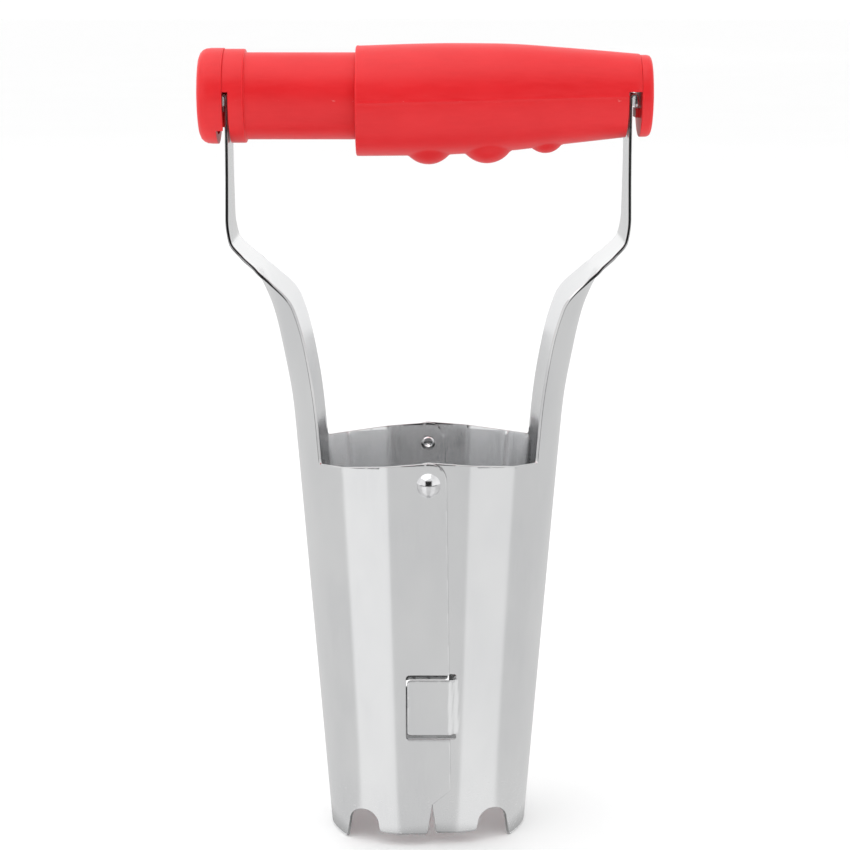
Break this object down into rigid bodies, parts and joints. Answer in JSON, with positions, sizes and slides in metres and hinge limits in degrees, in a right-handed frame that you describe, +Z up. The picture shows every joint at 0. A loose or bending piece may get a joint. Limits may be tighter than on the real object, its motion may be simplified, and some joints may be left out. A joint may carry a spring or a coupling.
{
  "type": "hand transplanter",
  "caption": "Squeeze-release hand bulb planter: riveted clamshell steel barrel on two arms, hung from a telescopic red plastic handle.",
  "frame": {"origin": "centre of the barrel's mouth, at the level of the lowest teeth", "axes": "+X to the right along the handle, +Z up from the mouth to the handle, front of the tool towards -Y"},
  "size_m": [0.1245, 0.0638, 0.225],
  "materials": {
    "pressed_steel": "polished stainless sheet",
    "rivet_steel": "polished dome",
    "red_plastic": "smooth moulded, semi-gloss",
    "red_grip_plastic": "smooth moulded, semi-gloss",
    "spring_steel": "plain drawn wire"
  },
  "bodies": {
    "grip": {"grip_sleeve": "red_grip_plastic", "right_end_cap": "red_plastic", "return_spring": "spring_steel"},
    "right_jaw": {"right_half": "pressed_steel", "front_rivet": "rivet_steel", "rear_rivet": "rivet_steel"},
    "left_jaw": {"left_half": "pressed_steel"},
    "tube": {"handle_tube": "red_plastic", "left_end_cap": "red_plastic"}
  },
  "joints": [
    {"name": "right_arm_pivot", "type": "hinge", "parent": "grip", "child": "right_jaw", "pos_m": [0.0562, 0, 0.2102], "axis": [0, -1, 0], "range_deg": [0, 7.5], "stiffness_Nm_per_rad": 6, "springref_deg": -14.32, "deforming": ["return_spring"]},
    {"name": "rivet_pivot", "type": "hinge", "parent": "right_jaw", "child": "left_jaw", "pos_m": [0, 0, 0.1068], "axis": [0, 1, 0], "range_deg": [0, 15]},
    {"name": "left_arm_pivot", "type": "hinge", "parent": "left_jaw", "child": "tube", "pos_m": [-0.0562, 0, 0.2102], "axis": [0, -1, 0], "range_deg": [0, 7.5]}
  ],
  "couplings": [
    {"joint": "rivet_pivot", "follows": "right_arm_pivot", "ratio": 2},
    {"joint": "left_arm_pivot", "follows": "right_arm_pivot", "ratio": 1}
  ]
}
